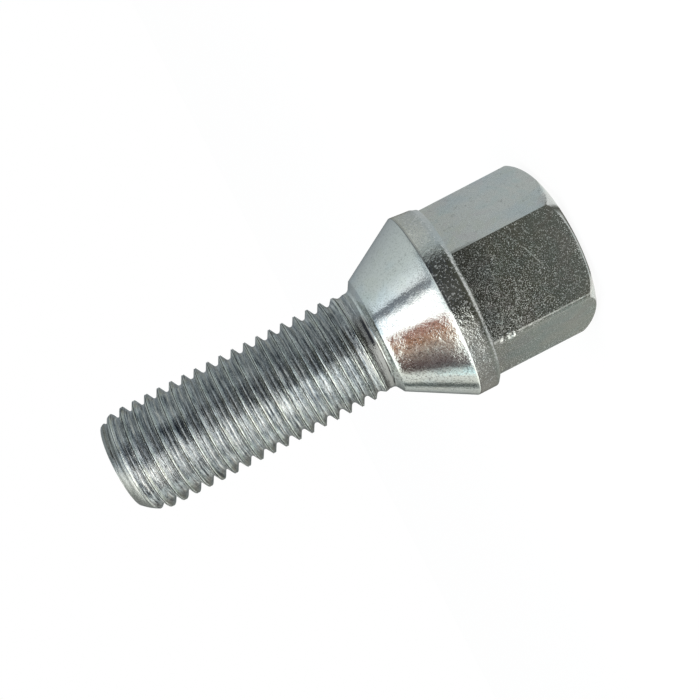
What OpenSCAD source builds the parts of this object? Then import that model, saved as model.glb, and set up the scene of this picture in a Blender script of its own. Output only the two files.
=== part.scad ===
// Wheel bolt, one forged piece: hexagon head, round collar, seat cone, plain
// neck and a rolled right-hand thread. Millimetres. The origin is the centre
// of the head's end face, +Z runs up the shank to the tip, and a corner of
// the hexagon points along +X.

/* [Hexagon head] */
// Width across the flats, the size of the socket that turns it
across_flats = 17; // [16:0.1:17.4]
// Length of the hexagon, from its end face to the collar
hex_length = 12.2; // [8:0.1:18]
// Radius that breaks the six long edges
hex_edge_r = 0.5; // [0.1:0.05:0.6]
// Diameter of the flat end face inside the chamfer
end_face_d = 12.4; // [12:0.1:15]
// Length of the rounded chamfer, measured at the corners
end_chamfer = 2.6; // [1:0.1:3]

/* [Collar] */
// Diameter of the round collar
collar_d = 20.9; // [20.8:0.1:25]
// Length of the collar, from the hexagon to the cone
collar_length = 2.7; // [2.2:0.1:6]
// Width of the flat ledge round the hexagon's corners
ledge = 0.15; // [0.05:0.05:0.25]
// Height of the slope from that ledge up to the rim
collar_slope = 0.45; // [0.4:0.05:1.2]
// Radius that rounds the rim on both sides
collar_edge_r = 0.3; // [0.1:0.05:0.5]

/* [Seat cone] */
// Full angle of the seat cone
cone_angle = 60; // [50:1:80]
// Diameter of the cone's small end
cone_small_d = 13.15; // [12.6:0.05:15]
// Radius that rounds the small end
cone_edge_r = 0.15; // [0.05:0.05:0.3]

/* [Neck] */
// Length of the steep step from the cone down to the neck
step_length = 0.6; // [0.4:0.05:1]
// Diameter of the plain neck, the blank that the thread is rolled on
neck_d = 11.15; // [10.9:0.05:11.5]
// Length of the plain neck
neck_length = 0.5; // [0.4:0.1:6]
// Radius of the fillet at the foot of the step
neck_fillet_r = 0.5; // [0.2:0.05:0.6]

/* [Thread] */
// Diameter over the crests
thread_d = 11.9; // [11.7:0.05:12]
// Rise of one turn
pitch = 1.5; // [1.25:0.05:1.75]
// Full angle between the flanks
flank_angle = 60; // [55:1:60]
// Width of the flat on the crest
crest_flat = 0.19; // [0.1:0.01:0.25]
// Radius of the rounded root
root_radius = 0.3; // [0.15:0.01:0.34]
// Length of the thread, from the neck to the tip
thread_length = 29.2; // [15:0.1:45]
// Height above the neck at which the crest first passes +X
thread_start = 1; // [0:0.05:1.5]
// Length over which the thread grows out of the neck
run_out = 2.3; // [1:0.1:4]

/* [Tip] */
// Diameter of the flat face at the tip
tip_d = 9.5; // [8.8:0.1:9.9]
// Length of the rounded chamfer at the tip
tip_chamfer = 2.8; // [1.5:0.1:4]

/* [Hidden] */

// Columns round the thread, and round faces of the revolved form
COLUMNS = 36;
SMOOTH = 96;

corner_r = across_flats / 2 / cos(30);
collar_r = collar_d / 2;
small_r = cone_small_d / 2;
neck_r = neck_d / 2;
collar_z = hex_length + collar_length;
cone_z = collar_z + (collar_r - small_r) / tan(cone_angle / 2);
step_z = cone_z + step_length;
neck_z = step_z + neck_length;
tip_z = neck_z + thread_length;

// Basic form of the thread: flat crest, straight flanks, round root
crest_r = thread_d / 2;
root_half = root_radius * cos(flank_angle / 2);
root_sag = root_radius * (1 - sin(flank_angle / 2));
flank_rise = (pitch / 2 - crest_flat / 2 - root_half) / tan(flank_angle / 2);
root_r = crest_r - flank_rise - root_sag;
ROOT_TURN = 90 - flank_angle / 2;
PROFILE = concat(
  [[-crest_flat / 2, crest_r], [crest_flat / 2, crest_r]],
  [
    for (a = [-1, -0.5, 0, 0.5, 1])
      [
        pitch / 2 + root_radius * sin(ROOT_TURN * a),
        root_r + root_radius * (1 - cos(ROOT_TURN * a))
      ]
  ]
);

function unit(v) = v / norm(v);

// Points of the round that breaks corner b between points a and c
function rounded(a, b, c, r, n = 5) =
  let (
    u = unit(a - b),
    v = unit(c - b),
    half = acos(u * v) / 2,
    o = b + unit(u + v) * r / sin(half),
    p = b + u * r / tan(half) - o,
    q = b + v * r / tan(half) - o,
    a0 = atan2(p[1], p[0]),
    turn = (atan2(q[1], q[0]) - a0 + 540) % 360 - 180
  )
  [for (i = [0 : n]) o + r * [cos(a0 + turn * i / n), sin(a0 + turn * i / n)]];

// Hexagonal bar with its long edges rounded, one corner along +X
module hex_bar(length) {
  corners = [for (k = [0 : 5]) corner_r * [cos(60 * k), sin(60 * k)]];
  linear_extrude(length)
    polygon([
      for (k = [0 : 5])
        each rounded(corners[(k + 5) % 6], corners[k], corners[(k + 1) % 6], hex_edge_r, 4)
    ]);
}

// Turned form of the head's end: flat face and an elliptic chamfer
module end_form(length) {
  outer = corner_r + 0.2;
  reach = outer - end_face_d / 2;
  rotate_extrude($fn = SMOOTH)
    polygon(concat(
      [[0, 0]],
      [
        for (i = [0 : 8])
          [end_face_d / 2 + reach * sin(90 * i / 8), end_chamfer * (1 - cos(90 * i / 8))]
      ],
      [[outer, length], [0, length]]
    ));
}

module hex_head() {
  intersection() {
    hex_bar(hex_length + collar_length / 2);
    end_form(hex_length + collar_length);
  }
}

// Collar, seat cone, step and neck, turned from one profile
module turned_body() {
  ledge_p = [corner_r + ledge, hex_length];
  rim_low = [collar_r, hex_length + collar_slope];
  rim_high = [collar_r, collar_z];
  cone_end = [small_r, cone_z];
  step_foot = [neck_r, step_z];
  neck_end = [neck_r, neck_z];
  rotate_extrude($fn = SMOOTH)
    polygon(concat(
      [[0, hex_length], ledge_p],
      rounded(ledge_p, rim_low, rim_high, collar_edge_r),
      rounded(rim_low, rim_high, cone_end, collar_edge_r),
      rounded(rim_high, cone_end, step_foot, cone_edge_r, 3),
      rounded(cone_end, step_foot, neck_end, neck_fillet_r),
      [neck_end, [0, neck_z]]
    ));
}

// The thread is a closed skin of upright columns. Each column holds the
// points where the helical lines of the profile cross that angle, so every
// line of the thread runs on unbroken from column to column.

// Share of the full thread form at height z, growing out of the neck
function growth(z) = min(1, max(0, (z - neck_z) / run_out));

// Largest radius that the rounded chamfer leaves at height z
function chamfer_r(z) =
  let (w = min(1, max(0, (tip_z - z) / tip_chamfer)))
  tip_d / 2 + (crest_r - tip_d / 2) * (1 - pow(1 - w, 2));

function skin_r(z, r) = min(chamfer_r(z), neck_r + (r - neck_r) * growth(z));

// First and last level of the thread's own lines
low_z = neck_z + 0.1;
high_z = tip_z - 0.3;

function column(i) = concat(
  [[neck_z - 0.3, neck_r - 0.3], [neck_z + 0.02, neck_r - 0.01]],
  [
    for (k = [-1 : ceil(thread_length / pitch)], p = PROFILE)
      let (z = neck_z + thread_start + pitch * (k + i / COLUMNS) + p[0])
      if (z > low_z && z < high_z) [z, skin_r(z, p[1])]
  ],
  [[tip_z, tip_d / 2]]
);

// True where the seam between two columns climbs column a next
function climbs(a, b, i, j) =
  j >= len(b) - 1 || (i < len(a) - 1 && a[i + 1][0] <= b[j + 1][0]);

// Triangles between column a, whose points start at index p, and column b
function seam(a, b, p, q) =
  [
    for (
      i = 0, j = 0, up = climbs(a, b, 0, 0);
      i + j < len(a) + len(b) - 2;
      i = i + (up ? 1 : 0), j = j + (up ? 0 : 1), up = climbs(a, b, i, j)
    )
      up ? [p + i, p + i + 1, q + j] : [p + i, q + j + 1, q + j]
  ];

module thread() {
  columns = [for (i = [0 : COLUMNS - 1]) column(i)];
  starts = [for (i = 0, s = 0; i < COLUMNS; s = s + len(columns[i]), i = i + 1) s];
  ends = [for (i = [0 : COLUMNS - 1]) starts[i] + len(columns[i]) - 1];
  points = [
    for (i = [0 : COLUMNS - 1], p = columns[i])
      [p[1] * cos(360 * i / COLUMNS), p[1] * sin(360 * i / COLUMNS), p[0]]
  ];
  sides = [
    for (i = [0 : COLUMNS - 1])
      let (n = (i + 1) % COLUMNS)
      each seam(columns[i], columns[n], starts[i], starts[n])
  ];
  bottom = [for (i = [0 : COLUMNS - 1]) starts[i]];
  top = [for (i = [COLUMNS - 1 : -1 : 0]) ends[i]];
  polyhedron(points, concat(sides, [bottom, top]), convexity = 10);
}

module wheel_bolt() {
  color([0.66, 0.68, 0.67]) {
    union() {
      hex_head();
      turned_body();
      thread();
    }
  }
}

wheel_bolt();
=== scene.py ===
import math

import bmesh
import bpy
from mathutils import Matrix, Vector


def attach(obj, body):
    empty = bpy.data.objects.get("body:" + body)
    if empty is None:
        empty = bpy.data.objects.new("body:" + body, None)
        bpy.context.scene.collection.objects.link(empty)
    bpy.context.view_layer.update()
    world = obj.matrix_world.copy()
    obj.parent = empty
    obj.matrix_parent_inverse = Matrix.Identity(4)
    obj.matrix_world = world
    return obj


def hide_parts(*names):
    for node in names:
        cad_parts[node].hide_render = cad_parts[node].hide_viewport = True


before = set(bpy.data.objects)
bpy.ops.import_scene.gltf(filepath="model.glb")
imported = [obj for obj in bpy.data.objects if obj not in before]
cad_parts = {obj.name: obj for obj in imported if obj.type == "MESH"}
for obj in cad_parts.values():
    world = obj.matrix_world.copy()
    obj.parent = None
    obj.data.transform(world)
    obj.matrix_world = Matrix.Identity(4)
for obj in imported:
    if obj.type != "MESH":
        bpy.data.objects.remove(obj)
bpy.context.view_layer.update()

bl_info = {
    "name": "Wheel bolt",
    "version": (1, 0, 0),
    "blender": (4, 5, 0),
    "location": "View3D > Sidebar > Wheel bolt",
    "description": "A zinc-plated wheel bolt with a seat cone, and the studio it stands in",
    "category": "Object",
}

MM = 0.001
DEGREES = 180 / math.pi   # in a radian
HEX_HALF = CONE_HALF = FLANK_HALF = math.radians(30)   # half of each form's 60 degrees
SECTORS = 48        # columns in each sixth of the turned body
EDGE_COLUMNS = 6    # columns on half of an edge's round
NEAR_COLUMNS = 9    # columns from the edge's middle to twice its round's angle
THREAD_STEPS = 96   # columns in each turn of the thread
CHAMFER_RINGS = (0.12, 0.26, 0.42, 0.58, 0.74, 0.88, 0.96, 1.0)   # shares of the end chamfer
FOOT_RINGS = (0.0, 0.3, 0.7, 1.0)   # shares of the ledge round the hexagon's foot
RING_GAP = 0.5 * MM      # largest gap between the rings of the collar and the cone
NECK_GAP = 0.04 * MM     # gap between the turned blank and the thread, bridged at the end
WELD = 0.002 * MM        # distance at which neighbouring turns are joined
HAIR = 0.01 * MM         # tolerance of a height
SHARP = math.radians(38)    # edges at least this steep stay sharp
LEFT_AS_TURNED, END_CHAMFER, HEX_WALL, HEX_FOOT = range(4)   # zones of the blank's vertices
ON_HEXAGON, ON_SEAT, ON_THREAD = range(3)                    # the bolt's material slots
EDGE_SHARES = (0.25, 0.8, 1.0, 1.0, 0.9, 1.4)   # of the edge radius, from +X round
HEX_TURN = math.radians(-0.8)       # how far the hexagon is turned on the collar
LOW_EDGE_TURN = math.radians(-1.7)  # and how much more its edge at -60 degrees is
RIM_TAPER = 0.30 * MM    # how much the collar's far side falls off towards the hexagon
LEAN_START = 8 * MM      # height above the neck at which the turns begin to lean
FORGING_LEAN = math.radians(66.5)   # azimuth towards which the forging sits off centre


def length(name, description, millimetres):
    """A length that a user may change, given in millimetres."""
    return bpy.props.FloatProperty(
        name=name, description=description, default=millimetres * MM,
        precision=5, unit="LENGTH", subtype="DISTANCE")


def share(name, description, default):
    return bpy.props.FloatProperty(
        name=name, description=description, default=default,
        min=0.0, max=1.0, subtype="FACTOR")


def tone(name, description, default):
    return bpy.props.FloatVectorProperty(
        name=name, description=description, default=default,
        size=3, min=0.0, soft_max=2.0, subtype="COLOR")


class BoltSizes(bpy.types.PropertyGroup):
    """Sizes of the forged blank and of its rolled thread"""
    across_flats: length("Across flats", "Width across the hexagon's flats", 17)
    hex_length: length("Hexagon length", "From the end face to the collar", 12.2)
    hex_edge_r: length("Edge radius", "Radius that breaks the six long edges", 0.5)
    end_face_d: length("End face", "Diameter of the flat end face", 12.4)
    end_chamfer: length("End chamfer", "Length of the rounded chamfer at the corners", 2.6)
    collar_d: length("Collar diameter", "Diameter over the round collar", 20.9)
    collar_length: length("Collar length", "From the hexagon to the cone", 2.7)
    ledge: length("Ledge", "Flat ledge round the hexagon's corners", 0.15)
    collar_slope: length("Collar slope", "Height of the slope up to the rim", 0.45)
    collar_edge_r: length("Rim radius", "Radius that rounds the rim", 0.3)
    cone_small_d: length("Cone end", "Diameter of the cone's small end", 13.15)
    cone_edge_r: length("Cone edge radius", "Radius at the cone's small end", 0.15)
    step_length: length("Step", "Length of the step down to the neck", 0.6)
    neck_d: length("Neck diameter", "Diameter of the plain neck", 11.15)
    neck_length: length("Neck length", "Length of the plain neck", 0.5)
    neck_fillet_r: length("Neck fillet", "Radius of the fillet at the neck", 0.5)
    thread_d: length("Thread diameter", "Diameter over the crests", 11.9)
    pitch: length("Pitch", "Rise of one turn", 1.5)
    crest_flat: length("Crest flat", "Width of the flat on the crest", 0.19)
    root_radius: length("Root radius", "Radius of the rounded root", 0.3)
    thread_length: length("Thread length", "From the neck to the tip", 29.2)
    thread_start: length("Thread start", "Height above the neck at which the crest passes +X", 1.0)
    run_out: length("Run-out", "Length over which the thread grows out of the neck", 2.3)
    tip_d: length("Tip face", "Diameter of the flat face at the tip", 9.5)
    tip_chamfer: length("Tip chamfer", "Length of the rounded chamfer at the tip", 2.8)
    seam_depth: length("Crest seam", "Depth of the seam that rolling leaves on the crest", 0.05)
    turn_lean: length("Turn lean", "How far the last turns lean towards the tip", 0.37)
    tip_offset: length("Tip offset", "How far the tip's chamfer sits off the axis", 0.35)
    bend: length("Bend", "How far the tip stands off the head's axis", 0.14)
    foot_tilt: length("Foot tilt", "How far the hexagon's foot leans, up and down", 0.17)


class ZincFinish(bpy.types.PropertyGroup):
    """Colours and texture of the zinc plate"""
    clear: tone("Zinc", "Bright zinc", (0.74, 0.758, 0.735))
    blue: tone("Blue film", "Zinc under the blue passivate film", (0.66, 0.72, 0.735))
    straw: tone("Straw film", "Zinc where the film turns straw-green", (0.69, 0.71, 0.57))
    roughness: share("Roughness", "Roughness of the plate", 0.10)
    grain: length("Grain depth", "Depth of the plate's fine grain", 0.017)


class StudioSetup(bpy.types.PropertyGroup):
    """Camera and light"""
    lens: bpy.props.FloatProperty(
        name="Lens", description="Focal length", default=54.1889,
        unit="CAMERA", subtype="DISTANCE_CAMERA")
    key_strength: bpy.props.FloatProperty(
        name="Key light", description="Brightness of the key light's face", default=4.0)
    fill: bpy.props.FloatProperty(
        name="World light", description="Brightness of the pale world", default=0.75)


# Modelling

def wire(bm, points):
    """Vertices on the section plane, joined in a row."""
    verts = [bm.verts.new((r, 0.0, z)) for r, z in points]
    for a, b in zip(verts, verts[1:]):
        bm.edges.new((a, b))
    return verts


def angle_of(co):
    return math.atan2(co.y, co.x)


def broken_edge(s, corner):
    """Radius of an edge's round, distance of its centre, and half its angle in degrees."""
    radius = s.hex_edge_r * EDGE_SHARES[corner % 6]
    centre = (s.across_flats / 2 - radius) / math.cos(HEX_HALF)
    half = math.atan2(radius * math.sin(HEX_HALF), centre + radius * math.cos(HEX_HALF))
    return radius, centre, math.degrees(half)


def column_angle(k, s):
    """Azimuth of a column, with the columns crowded at the six edges."""
    sector, j = divmod(k, SECTORS)
    j_near = min(j, SECTORS - j)
    edge = broken_edge(s, sector if j == j_near else sector + 1)[2]
    if j_near <= EDGE_COLUMNS:
        near = edge * j_near / EDGE_COLUMNS
    elif j_near <= NEAR_COLUMNS:
        near = edge * (1 + (j_near - EDGE_COLUMNS) / (NEAR_COLUMNS - EDGE_COLUMNS))
    else:
        plain = (j_near - NEAR_COLUMNS) / (SECTORS / 2 - NEAR_COLUMNS)
        near = 2 * edge + (30 - 2 * edge) * plain
    return math.radians(60 * sector + (near if j == j_near else 60 - near))


def hex_radius(angle, s):
    """Radius of the hexagon with broken edges, a corner along +X."""
    half = s.across_flats / 2
    off = abs((math.degrees(angle) + 30) % 60 - 30)
    radius, centre, edge = broken_edge(s, round(math.degrees(angle) / 60))
    if off >= edge:
        return half / math.cos(math.radians(30 - off))
    off = math.radians(off)
    return centre * math.cos(off) + math.sqrt(radius ** 2 - (centre * math.sin(off)) ** 2)


def soft_min(a, b, k):
    """The smaller of two values, rounded over where they are within k of each other."""
    h = max(k - abs(a - b), 0.0) / k
    return min(a, b) - h * h * k / 4


def turned_blank(bm, s):
    """Head, collar, cone and neck from one turned section, with the hexagon pressed into it."""
    zone = bm.verts.layers.int.new("zone")
    part = bm.verts.layers.float.new("share")
    corner_r = s.across_flats / 2 / math.cos(HEX_HALF)
    end_r, outer = s.end_face_d / 2, corner_r + 0.2 * MM
    collar_r, small_r, neck_r = s.collar_d / 2, s.cone_small_d / 2, s.neck_d / 2
    collar_z = s.hex_length + s.collar_length
    cone_z = collar_z + (collar_r - small_r) / math.tan(CONE_HALF)
    step_z = cone_z + s.step_length
    neck_z = step_z + s.neck_length
    # radius, height, zone and share of the zone: the hexagon's rings begin roughly in place
    rows = [(r, 0.0, LEFT_AS_TURNED, 0.0) for r in (2.0 * MM, 5.5 * MM, end_r)]
    for a in CHAMFER_RINGS:
        rows.append((end_r + 1.5 * MM * a, 1.2 * MM * a, END_CHAMFER, a))
    levels = [0.05, 0.12, 0.25] + [0.45 + 10.3 * i / 24 for i in range(25)]
    for h in levels:
        rows.append((s.across_flats / 2, 1.25 * MM + h * MM * 0.94, HEX_WALL, h / 10.75 * 0.985))
    for a in FOOT_RINGS:
        rows.append((s.across_flats / 2 + a * (corner_r + s.ledge - s.across_flats / 2),
                     s.hex_length, HEX_FOOT, a))
    body = [
        (corner_r + s.ledge, s.hex_length),
        (collar_r, s.hex_length + s.collar_slope),
        (collar_r, collar_z),
        (small_r, cone_z),
        (neck_r, step_z),
        (neck_r, neck_z - NECK_GAP),
    ]
    verts = wire(bm, [(r, z) for r, z, _, _ in rows] + body[1:])
    for v, (_, _, kind, a) in zip(verts, rows):
        v[zone], v[part] = kind, a
    low, high, cone_end, foot = verts[len(rows):len(rows) + 4]
    slope_turn = math.degrees(math.atan2(collar_r - corner_r - s.ledge, s.collar_slope))
    # corner, radius of its round, degrees that the section turns by there, and segments
    for v, radius, turn, n in ((low, s.collar_edge_r, slope_turn, 4),
                               (high, s.collar_edge_r, 30, 5),
                               (cone_end, s.cone_edge_r, 30, 3),
                               (foot, s.neck_fillet_r, 60, 6)):
        bmesh.ops.bevel(bm, geom=[v], affect="VERTICES", segments=n, profile=0.5, material=-1,
                        offset=radius * math.tan(math.radians(turn / 2)), offset_type="OFFSET")
    # rings along the collar and the cone, so that no long face bends when they lean and taper
    for e in list(bm.edges):
        low_z, high_z = sorted(v.co.z for v in e.verts)
        if high_z > s.hex_length and high_z - low_z > RING_GAP:
            bmesh.ops.subdivide_edges(bm, edges=[e], cuts=int((high_z - low_z) / RING_GAP))
    for v in bm.verts:
        if v.co.z > s.hex_length + HAIR:
            v[zone] = LEFT_AS_TURNED
    bmesh.ops.spin(bm, geom=bm.verts[:] + bm.edges[:], cent=(0, 0, 0), axis=(0, 0, 1),
                   angle=2 * math.pi, steps=6 * SECTORS, use_merge=True, use_duplicate=False)
    press_hexagon(bm, s, zone, part, end_r, outer)
    return neck_z


def press_hexagon(bm, s, zone, part, end_r, outer):
    """Crowds the columns at the edges and moves the lower rings to the hexagon's form."""
    reach = outer - end_r
    ledge_r = s.across_flats / 2 / math.cos(HEX_HALF) + s.ledge
    collar_z = s.hex_length + s.collar_length
    count = 6 * SECTORS
    for v in bm.verts:
        r = math.hypot(v.co.x, v.co.y)
        k = round(angle_of(v.co) / (2 * math.pi) * count) % count
        phi, z = column_angle(k, s), v.co.z
        off_lean = math.cos(phi - FORGING_LEAN)
        on_collar = v[zone] == LEFT_AS_TURNED and z > s.hex_length + HAIR
        lean = 0.0
        if v[zone] == HEX_FOOT or on_collar:
            lean = -s.foot_tilt * off_lean * (1 - min(max((z - s.hex_length) / MM, 0.0), 1.0))
        wall = hex_radius(phi, s)
        edge_z = s.end_chamfer * (1 - math.sqrt(1 - ((wall - end_r) / reach) ** 2))
        if v[zone] == END_CHAMFER:
            z = edge_z * v[part]
        elif v[zone] == HEX_WALL:
            foot_z = s.hex_length - s.foot_tilt * off_lean
            z = edge_z + (foot_z - edge_z) * v[part]
        if v[zone] in (END_CHAMFER, HEX_WALL):
            w = min(z / s.end_chamfer, 1.0)
            r = soft_min(wall, end_r + reach * math.sqrt(1 - (1 - w) ** 2), 0.06 * MM)
        elif v[zone] == HEX_FOOT:
            r = wall + (ledge_r - wall) * v[part]
        if on_collar and z < collar_z:
            r -= RIM_TAPER * max(0.0, off_lean) ** 3 * (collar_z - z) / s.collar_length
        turn = HEX_TURN + LOW_EDGE_TURN * max(0.0, math.cos(phi + math.pi / 3)) ** 4
        v.co = (r * math.cos(phi + turn), r * math.sin(phi + turn), z + lean)


def thread_section(s):
    """Height and radius over one pitch, from root to root, with the seam that rolling leaves."""
    crest, half = s.thread_d / 2, s.crest_flat / 2
    root_half = s.root_radius * math.cos(FLANK_HALF)
    sag = s.root_radius * (1 - math.sin(FLANK_HALF))
    rise = (s.pitch / 2 - half - root_half) / math.tan(FLANK_HALF)
    root = crest - rise - sag
    edge = (half + 0.035 * MM, crest - 0.045 * MM)
    tangent = (s.pitch / 2 - root_half, root + sag)
    right = [(0.0, crest - s.seam_depth), (0.035 * MM, crest - s.seam_depth * 0.85),
             (0.070 * MM, crest - 0.008 * MM), (0.090 * MM, crest),
             (half + 0.010 * MM, crest - 0.003 * MM), edge]
    for a in (0.33, 0.67, 1.0):
        right.append((edge[0] + (tangent[0] - edge[0]) * a, edge[1] + (tangent[1] - edge[1]) * a))
    for turn in (40, 20):
        right.append((s.pitch / 2 - s.root_radius * math.sin(math.radians(turn)),
                      root + s.root_radius * (1 - math.cos(math.radians(turn)))))
    right.append((s.pitch / 2, root))
    return [(-z, r) for z, r in reversed(right[1:])] + right


def rolled_thread(bm, s, neck_z):
    """The section swept up the shank as a screw, then cut at the neck and the tip."""
    tip_z = neck_z + s.thread_length
    section = thread_section(s)
    start = neck_z + s.thread_start - 2 * s.pitch
    turns = int(s.thread_length / s.pitch) + 4
    across = bm.verts.layers.float.new("across")
    rest = bm.verts.layers.float.new("rest")
    verts = wire(bm, [(r, start + z) for z, r in section])
    walk = 0.0
    for v, last, (z, r) in zip(verts, [section[0]] + section, section):
        walk += math.hypot(z - last[0], r - last[1])
        v[across], v[rest] = walk, z
    bmesh.ops.spin(bm, geom=bm.verts[:] + bm.edges[:], cent=(0, 0, 0), axis=(0, 0, 1),
                   dvec=(0, 0, s.pitch / THREAD_STEPS), angle=2 * math.pi,
                   steps=THREAD_STEPS, use_merge=False, use_duplicate=False)
    turn = bm.verts[:] + bm.edges[:] + bm.faces[:]
    for k in range(1, turns):
        copy = bmesh.ops.duplicate(bm, geom=turn)["geom"]
        bmesh.ops.translate(bm, vec=(0, 0, k * s.pitch),
                            verts=[v for v in copy if isinstance(v, bmesh.types.BMVert)])
    uv = bm.loops.layers.uv.new("along_thread")
    for face in bm.faces:
        for corner in face.loops:
            v = corner.vert
            corner[uv].uv = ((v.co.z - start - v[rest]) / s.pitch, v[across] / walk)
    bmesh.ops.remove_doubles(bm, verts=bm.verts[:], dist=WELD)
    crest_r, neck_r = s.thread_d / 2, s.neck_d / 2
    for v in bm.verts:
        r, off_lean = math.hypot(v.co.x, v.co.y), math.cos(angle_of(v.co) - FORGING_LEAN)
        leaning = max(0.0, (v.co.z - neck_z - LEAN_START) / (s.thread_length - LEAN_START))
        v.co.z -= s.turn_lean * leaning * off_lean
        grown = min(1.0, max(0.0, (v.co.z - neck_z) / s.run_out))
        new = neck_r + (r - neck_r) * grown
        w = max(0.0, (tip_z - v.co.z) / s.tip_chamfer)
        if w < 1:
            tip_r = s.tip_d / 2 + (crest_r - s.tip_d / 2) * (1 - (1 - w) ** 2)
            new = soft_min(tip_r + s.tip_offset * off_lean * (1 - w), new, 0.05 * MM)
        v.co.x *= new / r
        v.co.y *= new / r
        away = s.bend * max(0.0, v.co.z - neck_z) / s.thread_length
        v.co.x -= away * math.cos(FORGING_LEAN)
        v.co.y -= away * math.sin(FORGING_LEAN)
    for level, way in ((neck_z, -1), (tip_z, 1)):
        bmesh.ops.bisect_plane(bm, geom=bm.verts[:] + bm.edges[:] + bm.faces[:],
                               dist=0.0005 * MM, plane_co=(0, 0, level), plane_no=(0, 0, way),
                               clear_outer=True)
    return tip_z


def rim(bm, level):
    """Open edges at a height."""
    return [e for e in bm.edges if e.is_boundary
            and all(abs(v.co.z - level) < HAIR for v in e.verts)]


def bolt_mesh(s):
    """The turned blank and the rolled thread, joined at the neck into one closed mesh."""
    thread = bmesh.new()
    bm = bmesh.new()
    neck_z = turned_blank(bm, s)
    tip_z = rolled_thread(thread, s, neck_z)
    bmesh.ops.edgeloop_fill(thread, edges=rim(thread, tip_z))
    for face in bm.faces:
        on_hexagon = face.calc_center_median().z < s.hex_length - HAIR
        face.material_index = ON_HEXAGON if on_hexagon else ON_SEAT
    for face in thread.faces:
        face.material_index = ON_THREAD
    mesh = bpy.data.meshes.new("wheel_bolt_zinc")
    thread.to_mesh(mesh)
    thread.free()
    bm.from_mesh(mesh)
    neck = bmesh.ops.bridge_loops(bm, edges=rim(bm, neck_z - NECK_GAP) + rim(bm, neck_z))
    for face in neck["faces"]:
        face.material_index = ON_SEAT
    bmesh.ops.edgeloop_fill(bm, edges=rim(bm, 0.0))
    bmesh.ops.recalc_face_normals(bm, faces=bm.faces[:])
    for face in bm.faces:
        face.smooth = True
    for e in bm.edges:
        e.smooth = len(e.link_faces) == 2 and e.calc_face_angle() < SHARP
    bm.to_mesh(mesh)
    bm.free()
    return mesh


# Shader maths

class Value:
    """A socket of a shader tree, so that maths on it reads as Python."""

    def __init__(self, shader, socket):
        self.shader, self.socket = shader, socket

    def __add__(self, other):
        return self.shader.maths("ADD", self, other)

    def __sub__(self, other):
        return self.shader.maths("SUBTRACT", self, other)

    def __rsub__(self, other):
        return self.shader.maths("SUBTRACT", other, self)

    def __mul__(self, other):
        return self.shader.maths("MULTIPLY", self, other)

    def __truediv__(self, other):
        return self.shader.maths("DIVIDE", self, other)

    __radd__, __rmul__ = __add__, __mul__


class Shader:
    """A material's or world's node tree, emptied and built up again."""

    def __init__(self, owner):
        owner.use_nodes = True
        self.tree = owner.node_tree
        self.tree.nodes.clear()

    def node(self, kind, settings=None, inputs=None, output=0):
        made = self.tree.nodes.new(kind)
        for key, value in (settings or {}).items():
            if key == "stops":
                ramp = made.color_ramp
                while len(ramp.elements) > 1:
                    ramp.elements.remove(ramp.elements[-1])
                for i, (place, colour) in enumerate(value):
                    stop = ramp.elements[0] if i == 0 else ramp.elements.new(place)
                    stop.position, stop.color = place, (*colour, 1.0)
            elif key == "interpolation" and kind == "ShaderNodeValToRGB":
                made.color_ramp.interpolation = value
            else:
                setattr(made, key, value)
        for key, value in (inputs or {}).items():
            if isinstance(value, Value):
                self.tree.links.new(value.socket, made.inputs[key])
            else:
                made.inputs[key].default_value = value
        return Value(self, made.outputs[output]) if made.outputs else None

    def maths(self, operation, *values, clamp=False):
        return self.node("ShaderNodeMath", {"operation": operation, "use_clamp": clamp},
                         dict(enumerate(values)))

    def split(self, vector):
        """The x, y and z of a vector."""
        parts = self.node("ShaderNodeSeparateXYZ", None, {0: vector})
        return [Value(self, out) for out in parts.socket.node.outputs]

    def step(self, value, low, high):
        """0 below low, 1 above high, smooth between."""
        return self.node("ShaderNodeMapRange", {"interpolation_type": "SMOOTHSTEP"},
                         {"Value": value, "From Min": low, "From Max": high})

    def mix(self, factor, a, b, blend="MIX"):
        return self.node("ShaderNodeMix", {"data_type": "RGBA", "blend_type": blend},
                         {"Factor": factor, 6: colour4(a), 7: colour4(b)}, output=2)

    def noise(self, vector, scale, detail=2.0, rough=0.5, distortion=0.0):
        return self.node("ShaderNodeTexNoise", None,
                         {"Vector": vector, "Scale": scale, "Detail": detail,
                          "Roughness": rough, "Distortion": distortion})


def colour4(value):
    return value if isinstance(value, Value) else (*value, 1.0)


def plate(sh, finish, grain, specks, straw, fine, dullness=0.36):
    """Bright zinc over steel: film tints, dull bright crystals, dark pits and fine grain.

    grain is the crystals' share of the relief, specks the noise level at which they turn dull,
    straw the strength of the straw film, fine the crystals' scale and dullness their roughness.
    """
    place = sh.node("ShaderNodeTexCoord", output=3)
    broad = sh.noise(place, 190, 2.0, 0.6)
    patch = sh.noise(place, 420, 3.0, 0.6)
    crystals = sh.noise(place, fine, 2.0, 0.6)
    colour = sh.mix(sh.step(broad, 0.42, 0.62), finish.clear[:], finish.blue[:])
    colour = sh.mix(sh.step(patch, 0.52, 0.68) * straw, colour, finish.straw[:])
    dull = sh.step(crystals, specks, specks + 0.07)
    pits = sh.step(sh.noise(place, 2100, 4.0, 0.7), 0.60, 0.67)
    colour = sh.mix(dull * 0.6, colour, (0.90, 0.92, 0.90))
    colour = sh.mix(pits * 0.5, colour, (0.26, 0.27, 0.26))
    colour = sh.mix(sh.step(crystals, 0.44, 0.38) * 0.4, colour, (0.36, 0.37, 0.36))
    return {"place": place, "patch": patch, "colour": colour,
            "height": (crystals - 0.5) * grain + (sh.noise(place, 700, 2.0, 0.5) - 0.5) * 2.0,
            "metal": 1.0,
            "roughness": dull * dullness + (patch - 0.5) * 0.10 + finish.roughness}


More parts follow.
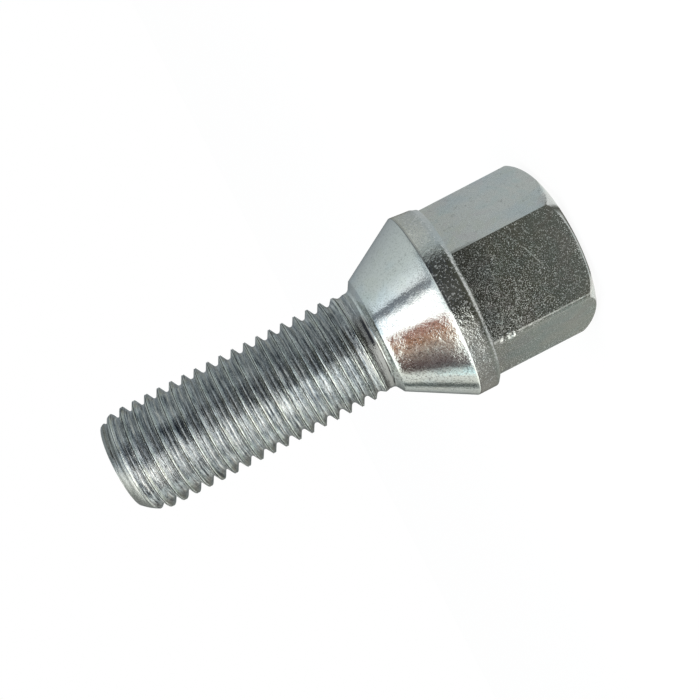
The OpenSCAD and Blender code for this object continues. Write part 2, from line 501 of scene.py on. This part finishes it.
def worn(sh, look, mask):
    """Plate rubbed dull and pale where the mask is 1."""
    look["colour"] = sh.mix(mask, look["colour"], (0.92, 0.93, 0.90))
    look["roughness"] = look["roughness"] + mask * 0.34


def bloom_and_highlight(sh, look, mask):
    """White zinc bloom, also used for a painted highlight, which scatters light as chalk does,
    where the mask is 1.
    """
    stained(sh, look, mask, (0.80, 0.81, 0.79))
    look["metal"] = look["metal"] - mask
    look["roughness"] = look["roughness"] + mask * 0.4


def stained(sh, look, mask, colour):
    """Another colour where the mask is 1."""
    look["colour"] = sh.mix(mask, look["colour"], colour)


def band(sh, value, low, high, soft):
    """1 between two values, with soft borders."""
    return sh.step(value, low - soft, low + soft) * sh.step(value, high + soft, high - soft)


def place_in_mm(sh, look):
    """Place on the bolt in millimetres, z from the end face, and distance from the axis."""
    x, y, z = (part * 1000.0 for part in sh.split(look["place"]))
    return x, y, z, sh.maths("SQRT", x * x + y * y)


def towards(x, y, degrees):
    """How far a place lies from the axis in the direction of an azimuth."""
    a = math.radians(degrees)
    return x * math.cos(a) + y * math.sin(a)


def scratch(sh, across, up, start, end, width):
    """1 along a straight mark on a flat, drawn in millimetres."""
    run, rise = end[0] - start[0], end[1] - start[1]
    size = math.hypot(run, rise)
    a, b = across - start[0], up - start[1]
    along = (a * run + b * rise) * (1 / size)
    off = sh.maths("ABSOLUTE", (b * run - a * rise) * (1 / size))
    return sh.step(off, width, width * 0.3) * band(sh, along, 0.0, size, 0.1)


def zinc(name, look_of, finish):
    """A material of the plate, with the marks that its place on the bolt has."""
    material = bpy.data.materials.new(name)
    sh = Shader(material)
    look = look_of(sh, finish)
    normal = sh.node("ShaderNodeBump", None, {"Strength": 1.0, "Distance": finish.grain,
                                              "Height": look["height"]})
    surface = sh.node("ShaderNodeBsdfPrincipled", None,
                      {"Base Color": look["colour"], "Metallic": look["metal"],
                       "Roughness": look["roughness"], "Normal": normal})
    sh.node("ShaderNodeOutputMaterial", None, {"Surface": surface})
    return material


# Scratches on the hexagon's face towards the camera: start and end in millimetres across the
# face and above the end face, how ragged the line is, and half its width
SCRATCHES = (
    ((4.2, 6.7), (1.8, 5.35), 0.3, 0.10),
    ((1.8, 5.35), (-0.3, 4.5), 0.3, 0.10),
    ((-4.7, 11.2), (-3.8, 10.75), 0.4, 0.12),
    ((-3.8, 10.75), (-2.9, 10.1), 0.4, 0.12),
)
NICKED_EDGE = -63.0   # azimuth of the edge below that face, in degrees


def hexagon_look(sh, finish):
    look = plate(sh, finish, grain=1.1, specks=0.57, straw=0.25, fine=8500)
    x, y, z, _ = place_in_mm(sh, look)
    ragged = (sh.noise(look["place"], 1700, 3.0, 0.6) - 0.5) * 0.5
    worn(sh, look, band(sh, z + ragged * 0.2, -0.1, 0.22, 0.05) * 0.9)
    # the face towards the camera, whose middle lies at -30 degrees
    front = sh.step(towards(x, y, -30), 8.2, 8.3)
    across = towards(x, y, 60)
    marks = sum(scratch(sh, across, z + ragged * raggedness, start, end, width)
                for start, end, raggedness, width in SCRATCHES)
    worn(sh, look, marks * front * 0.5)
    # the edge below that face is rubbed along its length and nicked near the collar
    turn = sh.maths("ARCTAN2", y, x) * DEGREES - NICKED_EDGE
    rubbed = band(sh, turn + ragged * 0.8, 1.3, 2.3, 0.3)
    rubbed = rubbed + band(sh, turn + ragged * 0.2, -2.3, -1.6, 0.2)
    worn(sh, look, rubbed * 0.65)
    nick = band(sh, turn + ragged * 3.0, -1.5, 3.4, 0.6)
    nick = nick * (band(sh, z + ragged * 1.6, 9.7, 10.5, 0.1)
                   + band(sh, z + ragged, 10.9, 11.4, 0.1))
    dents = sh.noise(look["place"], 2300, 2.0, 0.5)
    worn(sh, look, nick * sh.step(dents, 0.36, 0.44))
    stained(sh, look, nick * sh.step(dents, 0.42, 0.36) * 0.8, (0.2, 0.2, 0.2))
    look["height"] = look["height"] + nick * dents * 16.0
    # painted shade: that face darkens towards the collar
    stained(sh, look, front * sh.step(z, 8.0, 11.6) * 0.55, (0.22, 0.22, 0.21))
    # faint rose and green tints of the film
    tints = sh.noise(look["place"], 330, 2.0, 0.5, 1.0)
    stained(sh, look, sh.step(tints, 0.55, 0.64) * 0.35, (0.72, 0.68, 0.69))
    stained(sh, look, sh.step(tints, 0.44, 0.36) * 0.35, (0.62, 0.72, 0.72))
    return look


def window_side_shade(sh, x, y):
    """1 on the side of the neck that looks at the window, where shade is painted."""
    return sh.step(towards(x, y, -70), 0.8, 2.2)


def lower_side_shade(sh, x, y, r):
    """1 on the lower side of the cone and neck in the picture, beyond the white band, where shade
    is painted.
    """
    return sh.step(towards(x, y, -83.5) / r, 0.55, 0.64)


def seat_look(sh, finish):
    look = plate(sh, finish, grain=0.5, specks=0.68, straw=0.15, fine=6500, dullness=0.15)
    x, y, z, r = place_in_mm(sh, look)
    on_collar = sh.step(z, 14.95, 14.75)
    warm = lower_side_shade(sh, x, y, r)
    crumbs = sh.noise(look["place"], 4200, 3.0, 0.65)
    ragged = (sh.noise(look["place"], 1300, 3.0, 0.6) - 0.5) * 0.6
    look["height"] = look["height"] + on_collar * (crumbs - 0.5) * 1.5
    look["roughness"] = look["roughness"] - 0.03
    # dark specks on the cone, with more of them on its lower side as painted shade
    specks_and_shade = sh.step(z, 15.0, 15.2) * (warm * 0.55 + 0.08)
    stained(sh, look, sh.step(crumbs, 0.46, 0.39) * specks_and_shade, (0.22, 0.21, 0.21))
    bloom_and_highlight(sh, look, sh.step(crumbs, 0.56, 0.63) * (on_collar * 0.26 + 0.07))
    # painted highlight: a white line on the collar's lower rim, on the camera's side only, made as
    # chalky white bloom
    facing = sh.step(towards(x, y, -36.5), 7.3, 8.6)
    painted_rim_highlight = band(sh, z + ragged * 0.12, 12.30, 12.60, 0.05) * sh.step(crumbs, 0.38, 0.50)
    bloom_and_highlight(sh, look, painted_rim_highlight * facing * 0.6)
    # a dark line where the collar meets the cone
    stained(sh, look, band(sh, z + ragged * 0.2, 14.70, 14.94, 0.04) * 0.45, (0.30, 0.30, 0.30))
    # painted shade on the neck: darker on the side towards the window, darkest on its lower side
    neck = sh.step(z + ragged * 0.5, 22.1, 22.3)
    stained(sh, look, neck * window_side_shade(sh, x, y) * 0.95, (0.25, 0.25, 0.245))
    stained(sh, look, neck * warm * 0.4, (0.06, 0.06, 0.06))
    return look


def thread_look(sh, finish):
    look = plate(sh, finish, grain=0.8, specks=0.60, straw=0.3, fine=6500, dullness=0.3)
    along = sh.node("ShaderNodeUVMap", {"uv_map": "along_thread"})
    drawn = sh.node("ShaderNodeMapping", None, {"Vector": along, "Scale": (10.0, 7.5, 1.0)})
    lines = sh.noise(drawn, 1.0, 4.0, 0.7)
    look["height"] = look["height"] + (lines - 0.5) * 4.5
    # 0 at the middle of the crest, 0.5 at the root
    side = sh.maths("ABSOLUTE", sh.split(along)[1] - 0.5)
    broken = sh.noise(look["place"], 1500, 2.0, 0.6)
    # painted shade: the flanks darker and bluer than the crest, which has a straw tint
    stained(sh, look, sh.step(side, 0.12, 0.22) * 0.8, (0.60, 0.63, 0.66))
    stained(sh, look, sh.step(side, 0.20, 0.14) * 0.4, (0.72, 0.78, 0.68))
    # bright and dark streaks along the thread: painted highlight and painted shade, over the
    # relief of the same marks
    stained(sh, look, sh.step(lines, 0.53, 0.59) * 0.88, (0.07, 0.09, 0.12))
    stained(sh, look, sh.step(lines, 0.465, 0.41) * 0.95, (0.99, 0.99, 0.98))
    # painted shade in the root
    stained(sh, look, sh.step(side, 0.39, 0.47) * 0.5, (0.22, 0.24, 0.25))
    # the rubbed lips on both sides of the crest's seam, painted pale light blue as a highlight
    lips = band(sh, side, 0.036, 0.060, 0.006) * sh.step(broken, 0.38, 0.56)
    worn(sh, look, lips * 0.5)
    stained(sh, look, lips * 0.6, (0.84, 0.91, 0.98))
    # painted shade: a dark line in the crest's seam
    stained(sh, look, sh.step(side, 0.030, 0.018) * 0.9, (0.05, 0.05, 0.055))
    look["roughness"] = look["roughness"] - 0.03
    x, y, z, r = place_in_mm(sh, look)
    # painted shade: the tip darker, and the first turn above the neck darker on the side towards
    # the window and on the lower side
    stained(sh, look, sh.step(z, 50.3, 51.0) * 0.85, (0.30, 0.31, 0.30))
    neck = sh.step(z, 23.5, 23.0)
    stained(sh, look, neck * window_side_shade(sh, x, y) * 0.9, (0.25, 0.25, 0.245))
    stained(sh, look, neck * lower_side_shade(sh, x, y, r) * 0.4, (0.06, 0.06, 0.06))
    return look


# Studio

CAMERA_PLACE = (0.102668, -0.044579, 0.029164)
CAMERA_ROWS = ((-0.19341, -0.41764, -0.88779),    # image right
               (-0.33669, -0.82167, 0.45989),     # image down
               (-0.92154, 0.38786, 0.0183))       # forwards
CAMERA_SHIFT = (0.0691064, 0.0551673)
CAMERA_AZIMUTH = math.atan2(CAMERA_PLACE[1], CAMERA_PLACE[0])
ROOM_STRENGTH = 0.88    # brightness of the mirrored tones
MIRROR_LEVEL = 0.016    # height in metres from which the room's angles of rise are measured
BOARD_R = 0.060         # distance in metres of the near board from the axis
BOARD_RISE = 0.1085     # how high the middle of the board climbs in front of the camera
BOARD_DROP = 0.020      # how much the whole board is lowered
BOARD_HALF = 0.0125     # half the board's height
KEY_PLACE = (-7, 0.129, 0.230)         # azimuth from the camera, distance and height
KEY_TARGET = Vector((0, 0, 0.018))
KEY_SIZE = (0.11, 0.13)
# Section of the room in millimetres: a flat floor round the head's end face, and a dome
ROOM_SECTION = ((6.5, 0.05), (60, 0.05), (200, 0.05), (300, 0.05), (320, 20), (330, 120),
                (300, 250), (200, 340), (1, 380))


def from_camera(degrees, away, height=0.0):
    """A point at an azimuth from the camera, positive towards the picture's lower right."""
    a = CAMERA_AZIMUTH - math.radians(degrees)
    return Vector((away * math.cos(a), away * math.sin(a), height))


def make_object(name, mesh, *materials):
    made = bpy.data.objects.new(name, mesh)
    bpy.context.scene.collection.objects.link(made)
    for m in materials:
        mesh.materials.append(m)
    return made


def azimuth(sh):
    """Azimuth from the camera as a share of the turn, distance from the axis, and height."""
    place = sh.node("ShaderNodeTexCoord", output=3)
    x, y, z = sh.split(place)
    turn = sh.maths("ARCTAN2", y, x)
    around = sh.maths("FRACT", (CAMERA_AZIMUTH - turn) / (2 * math.pi) + 0.5)
    return around, sh.maths("SQRT", x * x + y * y), z


def room_material():
    """What the plate mirrors: a pale blue room, a dark side and a bright window.

    The tones go by azimuth, in four tables from the floor to the dome.
    """
    material = bpy.data.materials.new("room_tones")
    sh = Shader(material)
    around, away, z = azimuth(sh)
    rise = sh.maths("ARCTAN2", z - MIRROR_LEVEL, away) * DEGREES
    lean = sh.step(rise * -1.0, -5.0, 9.0) * (18 / 360)
    ring = ramp(sh, around - lean, (-180, (0.14, 0.16, 0.16)), (-162, (0.16, 0.18, 0.18)),
                (-150, (0.30, 0.34, 0.35)), (-64, (0.30, 0.33, 0.34)), (-53, (0.26, 0.29, 0.30)),
                (-45, (0.10, 0.11, 0.13)), (12, (0.09, 0.10, 0.12)), (15, (3.0, 3.06, 2.94)),
                (50, (2.9, 2.96, 2.84)), (72, (2.6, 2.66, 2.54)), (92, (2.3, 2.36, 2.22)),
                (118, (1.9, 1.95, 1.82)), (150, (0.6, 0.64, 0.60)), (164, (0.16, 0.18, 0.17)),
                (180, (0.14, 0.16, 0.16)))
    high = ramp(sh, around, (-180, (0.16, 0.18, 0.18)), (-150, (0.40, 0.44, 0.46)),
                (-115, (0.58, 0.64, 0.65)), (-82, (0.68, 0.75, 0.75)), (-68, (0.46, 0.50, 0.50)),
                (-40, (0.14, 0.16, 0.19)), (-30, (0.62, 0.76, 0.88)), (4, (1.4, 1.58, 1.68)),
                (22, (2.4, 2.46, 2.4)), (46, (2.7, 2.76, 2.64)), (70, (2.5, 2.56, 2.42)),
                (95, (1.9, 1.95, 1.82)), (112, (0.95, 0.98, 0.92)), (124, (0.85, 0.88, 0.82)),
                (128, (0.15, 0.17, 0.16)), (136, (0.15, 0.17, 0.16)), (140, (0.72, 0.75, 0.70)),
                (152, (0.54, 0.56, 0.53)), (165, (0.2, 0.22, 0.21)),
                (180, (0.16, 0.18, 0.18)))
    far_floor = ramp(sh, around, (-180, (0.15, 0.16, 0.14)), (-160, (0.2, 0.2, 0.18)),
                     (-148, (0.42, 0.44, 0.41)), (-115, (0.50, 0.52, 0.48)),
                     (-84, (0.66, 0.69, 0.65)), (-60, (0.58, 0.60, 0.56)),
                     (-49, (0.06, 0.06, 0.06)), (-22, (0.07, 0.07, 0.066)),
                     (-4, (0.15, 0.15, 0.14)), (8, (0.05, 0.05, 0.046)),
                     (31, (0.06, 0.06, 0.055)), (35, (0.52, 0.50, 0.46)),
                     (55, (0.46, 0.44, 0.41)), (80, (0.34, 0.33, 0.31)),
                     (110, (0.30, 0.29, 0.27)), (140, (0.34, 0.33, 0.30)), (158, (0.2, 0.2, 0.18)),
                     (180, (0.15, 0.15, 0.14)))
    near_floor = ramp(sh, around, (-180, (0.36, 0.38, 0.36)), (-160, (0.42, 0.45, 0.44)),
                      (-145, (0.51, 0.545, 0.56)), (-58, (0.53, 0.565, 0.57)),
                      (-48, (0.09, 0.09, 0.072)), (54, (0.09, 0.09, 0.072)),
                      (63, (0.30, 0.315, 0.285)), (160, (0.30, 0.315, 0.285)),
                      (180, (0.36, 0.38, 0.36)))
    colour = sh.mix(sh.step(rise, -1.85, -0.7), far_floor, ring)
    near_floor = sh.mix(sh.step(away, 0.048, 0.070) * 0.25, near_floor, (0.0, 0.0, 0.0))
    colour = sh.mix(sh.step(rise, -10.9, -11.9), colour, near_floor)
    colour = sh.mix(sh.step(away, 0.042, 0.015) * 0.12, colour, (0.6, 0.6, 0.54))
    # bright patches and a bright line round the head's end, which its chamfer mirrors
    spots = band(sh, around, 0.350, 0.431, 0.006) + band(sh, around, 0.597, 0.665, 0.006)
    colour = sh.mix(spots * sh.step(away, 0.0112, 0.0104), colour, (0.95, 0.96, 0.92))
    line = band(sh, away, 0.0082, 0.0102, 0.0003) * band(sh, around, 0.450, 0.611, 0.012)
    colour = sh.mix(line, colour, (0.8, 0.8, 0.76))
    # a gleam on the wall, below the high tones
    gleam = sh.step(rise, 15.0, 20.0) * band(sh, around, 0.335, 0.545, 0.01)
    colour = sh.mix(gleam, colour, (0.95, 1.0, 0.98))
    # the high tones begin just below the rays that the cone sends off, 60 degrees up at most
    locus = sh.maths("COSINE", (around - 0.5) * math.pi) * 60.0
    colour = sh.mix(sh.step(rise - locus, -17.0, -9.0), colour, high)
    return lit(sh, material, colour)


def board_material():
    """The near board that the seat cone mirrors: a white band, a dark slot and a warm side."""
    material = bpy.data.materials.new("board_tones")
    sh = Shader(material)
    around, away, z = azimuth(sh)
    level = (z - board_height(sh, around)) * 100.0
    slant = sh.step(around, 0.5, 0.40) * level * (-4 / 360)
    tones = ramp(sh, around - slant, (-76, (0.70, 0.78, 0.78)), (-65, (0.80, 0.88, 0.90)),
                 (-55, (1.0, 1.1, 1.13)), (-45, (1.1, 1.16, 1.2)), (-41, (0.24, 0.26, 0.29)),
                 (-32, (0.24, 0.26, 0.29)), (-26, (0.95, 1.0, 1.03)), (-19, (2.0, 2.0, 2.0)),
                 (10, (2.0, 2.0, 2.0)), (15, (0.95, 0.80, 0.74)), (19, (0.43, 0.19, 0.15)),
                 (40, (0.46, 0.21, 0.12)), (53, (0.48, 0.31, 0.24)), (64, (0.34, 0.23, 0.19)),
                 (80, (0.17, 0.11, 0.10)), (90, (0.16, 0.13, 0.12)), (96, (0.50, 0.48, 0.45)),
                 (99, (0.95, 0.98, 0.92)))
    pale = sh.mix(1.0, tones, (1.3, 1.7, 1.85), blend="MULTIPLY")
    colour = sh.mix(sh.step(level, 0.5, -0.9) * sh.step(around, 0.55, 0.58), tones, pale)
    return lit(sh, material, colour)


def board_height(sh, around):
    """Height of the board's middle, where the rays that the seat cone mirrors cross it."""
    return sh.maths("COSINE", (around - 0.5) * math.pi) * BOARD_RISE - BOARD_DROP


def lit(sh, material, colour):
    """Finishes a material that shines in a colour."""
    light = sh.node("ShaderNodeEmission", None, {"Color": colour, "Strength": ROOM_STRENGTH})
    sh.node("ShaderNodeOutputMaterial", None, {"Surface": light})
    return material


def ramp(sh, around, *tones):
    """Tones at azimuths in degrees from the camera."""
    stops = [((degrees + 180) / 360, colour) for degrees, colour in tones]
    return sh.node("ShaderNodeValToRGB", {"interpolation": "LINEAR", "stops": stops}, {0: around})


def room_mesh():
    """A dome on a flat floor, turned from one section."""
    bm = bmesh.new()
    wire(bm, [(r * MM, z * MM) for r, z in ROOM_SECTION])
    bmesh.ops.spin(bm, geom=bm.verts[:] + bm.edges[:], cent=(0, 0, 0), axis=(0, 0, 1),
                   angle=2 * math.pi, steps=96, use_merge=True)
    bmesh.ops.recalc_face_normals(bm, faces=bm.faces[:])
    mesh = bpy.data.meshes.new("room")
    bm.to_mesh(mesh)
    bm.free()
    return mesh


def board_mesh():
    """A curved board round the bolt that follows the rays from the seat cone."""
    bm = bmesh.new()
    # the upright edge is 2 high here, and takes its true height once it is spun
    edge = bm.edges.new([bm.verts.new(from_camera(103, BOARD_R, end)) for end in (-1.0, 1.0)])
    bmesh.ops.spin(bm, geom=list(edge.verts) + [edge], cent=(0, 0, 0), axis=(0, 0, 1),
                   angle=math.radians(179), steps=90)
    for v in bm.verts:
        off = CAMERA_AZIMUTH - angle_of(v.co)
        v.co.z = math.cos(off / 2) * BOARD_RISE - BOARD_DROP + BOARD_HALF * v.co.z
    mesh = bpy.data.meshes.new("board")
    bm.to_mesh(mesh)
    bm.free()
    return mesh


def seen_or_mirrored(sh):
    """1 where a ray comes from the camera, a mirror or glass."""
    rays = sh.node("ShaderNodeLightPath")
    outputs = rays.socket.node.outputs
    camera, glossy, through = (Value(sh, outputs[n]) for n in
                               ("Is Camera Ray", "Is Glossy Ray", "Is Transmission Ray"))
    return sh.maths("ADD", camera + glossy, through, clamp=True)


def paper_material():
    """Pale floor: white as a background, with a trace of the object's shadow kept."""
    material = bpy.data.materials.new("white_floor")
    sh = Shader(material)
    paper = sh.node("ShaderNodeBsdfDiffuse", None, {"Color": (0.9, 0.9, 0.9, 1.0)})
    white = sh.node("ShaderNodeEmission", None, {"Color": (1.0, 1.0, 1.0, 1.0), "Strength": 1.03})
    mixed = sh.node("ShaderNodeMixShader", None,
                    {0: seen_or_mirrored(sh) * 0.9, 1: paper, 2: white})
    sh.node("ShaderNodeOutputMaterial", None, {"Surface": mixed})
    return material


def set_world(world, fill):
    """A white background to the eye, and a pale light of the given strength on the rest."""
    sh = Shader(world)
    seen = seen_or_mirrored(sh)
    light = sh.node("ShaderNodeBackground", None,
                    {"Color": (0.96, 0.98, 1.0, 1.0), "Strength": fill})
    white = sh.node("ShaderNodeBackground", None,
                    {"Color": (1.0, 1.0, 1.0, 1.0), "Strength": 1.0})
    mixed = sh.node("ShaderNodeMixShader", None, {0: seen, 1: light, 2: white})
    sh.node("ShaderNodeOutputWorld", None, {"Surface": mixed})


# Operators

class WHEELBOLT_OT_bolt(bpy.types.Operator):
    """Make the plated bolt in place of its plain solid"""
    bl_idname = "wheelbolt.bolt"
    bl_label = "Plated bolt"

    def execute(self, context):
        sizes, finish = context.scene.bolt_sizes, context.scene.bolt_finish
        bolt = make_object(
            "wheel_bolt_zinc", bolt_mesh(sizes),
            zinc("zinc_on_hexagon", hexagon_look, finish),
            zinc("zinc_on_seat", seat_look, finish),
            zinc("zinc_on_thread", thread_look, finish))
        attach(bolt, "root")
        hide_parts("wheel_bolt")
        return {"FINISHED"}


class WHEELBOLT_OT_stage(bpy.types.Operator):
    """Set the floor, the room that the plate mirrors, the lamps and the camera"""
    bl_idname = "wheelbolt.stage"
    bl_label = "Studio"

    def execute(self, context):
        setup = context.scene.bolt_studio
        floor = bmesh.new()
        bmesh.ops.create_grid(floor, x_segments=1, y_segments=1, size=3.0)
        mesh = bpy.data.meshes.new("floor")
        floor.to_mesh(mesh)
        floor.free()
        ground = make_object("floor", mesh, paper_material())
        room = make_object("room", room_mesh(), room_material())
        board = make_object("board", board_mesh(), board_material())
        for shown in (room, board):
            shown.visible_camera = shown.visible_diffuse = False
            shown.visible_shadow = shown.visible_transmission = False
        context.scene.world = bpy.data.worlds.new("studio")
        set_world(context.scene.world, setup.fill)
        key = lamp("key_light", from_camera(*KEY_PLACE), KEY_TARGET, *KEY_SIZE,
                   setup.key_strength)
        key.visible_glossy = False
        camera = bpy.data.cameras.new("camera")
        camera.sensor_width, camera.lens = 36.0, setup.lens
        camera.shift_x, camera.shift_y = CAMERA_SHIFT
        camera.clip_start, camera.clip_end = 0.005, 20.0
        eye = bpy.data.objects.new("camera", camera)
        right, down, ahead = (Vector(row) for row in CAMERA_ROWS)
        turn = Matrix((right, -down, -ahead)).transposed()
        eye.matrix_world = Matrix.Translation(CAMERA_PLACE) @ turn.to_4x4()
        context.scene.collection.objects.link(eye)
        context.scene.camera = eye
        context.scene.view_settings.view_transform = "Standard"
        return {"FINISHED"}


def lamp(name, place, target, width, height, brightness):
    """An area lamp whose face has the given brightness."""
    data = bpy.data.lights.new(name, "AREA")
    data.shape, data.size, data.size_y = "RECTANGLE", width, height
    data.energy = brightness * math.pi * width * height
    made = bpy.data.objects.new(name, data)
    made.matrix_world = (Matrix.Translation(place)
                         @ (target - place).to_track_quat("-Z", "Y").to_matrix().to_4x4())
    bpy.context.scene.collection.objects.link(made)
    return made


class WHEELBOLT_PT_panel(bpy.types.Panel):
    """Lists the bolt's sizes, finish and steps"""
    bl_idname = "WHEELBOLT_PT_panel"
    bl_label = "Wheel bolt"
    bl_space_type = "VIEW_3D"
    bl_region_type = "UI"
    bl_category = "Wheel bolt"

    def draw(self, context):
        scene = context.scene
        for group in (scene.bolt_sizes, scene.bolt_finish, scene.bolt_studio):
            box = self.layout.box()
            for name in group.__annotations__:
                box.prop(group, name)
        for kind in (WHEELBOLT_OT_bolt, WHEELBOLT_OT_stage):
            self.layout.operator(kind.bl_idname)


CLASSES = (BoltSizes, ZincFinish, StudioSetup, WHEELBOLT_OT_bolt, WHEELBOLT_OT_stage,
           WHEELBOLT_PT_panel)


def register():
    for kind in CLASSES:
        bpy.utils.register_class(kind)
    bpy.types.Scene.bolt_sizes = bpy.props.PointerProperty(type=BoltSizes)
    bpy.types.Scene.bolt_finish = bpy.props.PointerProperty(type=ZincFinish)
    bpy.types.Scene.bolt_studio = bpy.props.PointerProperty(type=StudioSetup)


def unregister():
    for name in ("bolt_sizes", "bolt_finish", "bolt_studio"):
        delattr(bpy.types.Scene, name)
    for kind in reversed(CLASSES):
        bpy.utils.unregister_class(kind)


def main():
    register()
    bpy.ops.wheelbolt.bolt()
    bpy.ops.wheelbolt.stage()


if __name__ == "__main__":
    main()
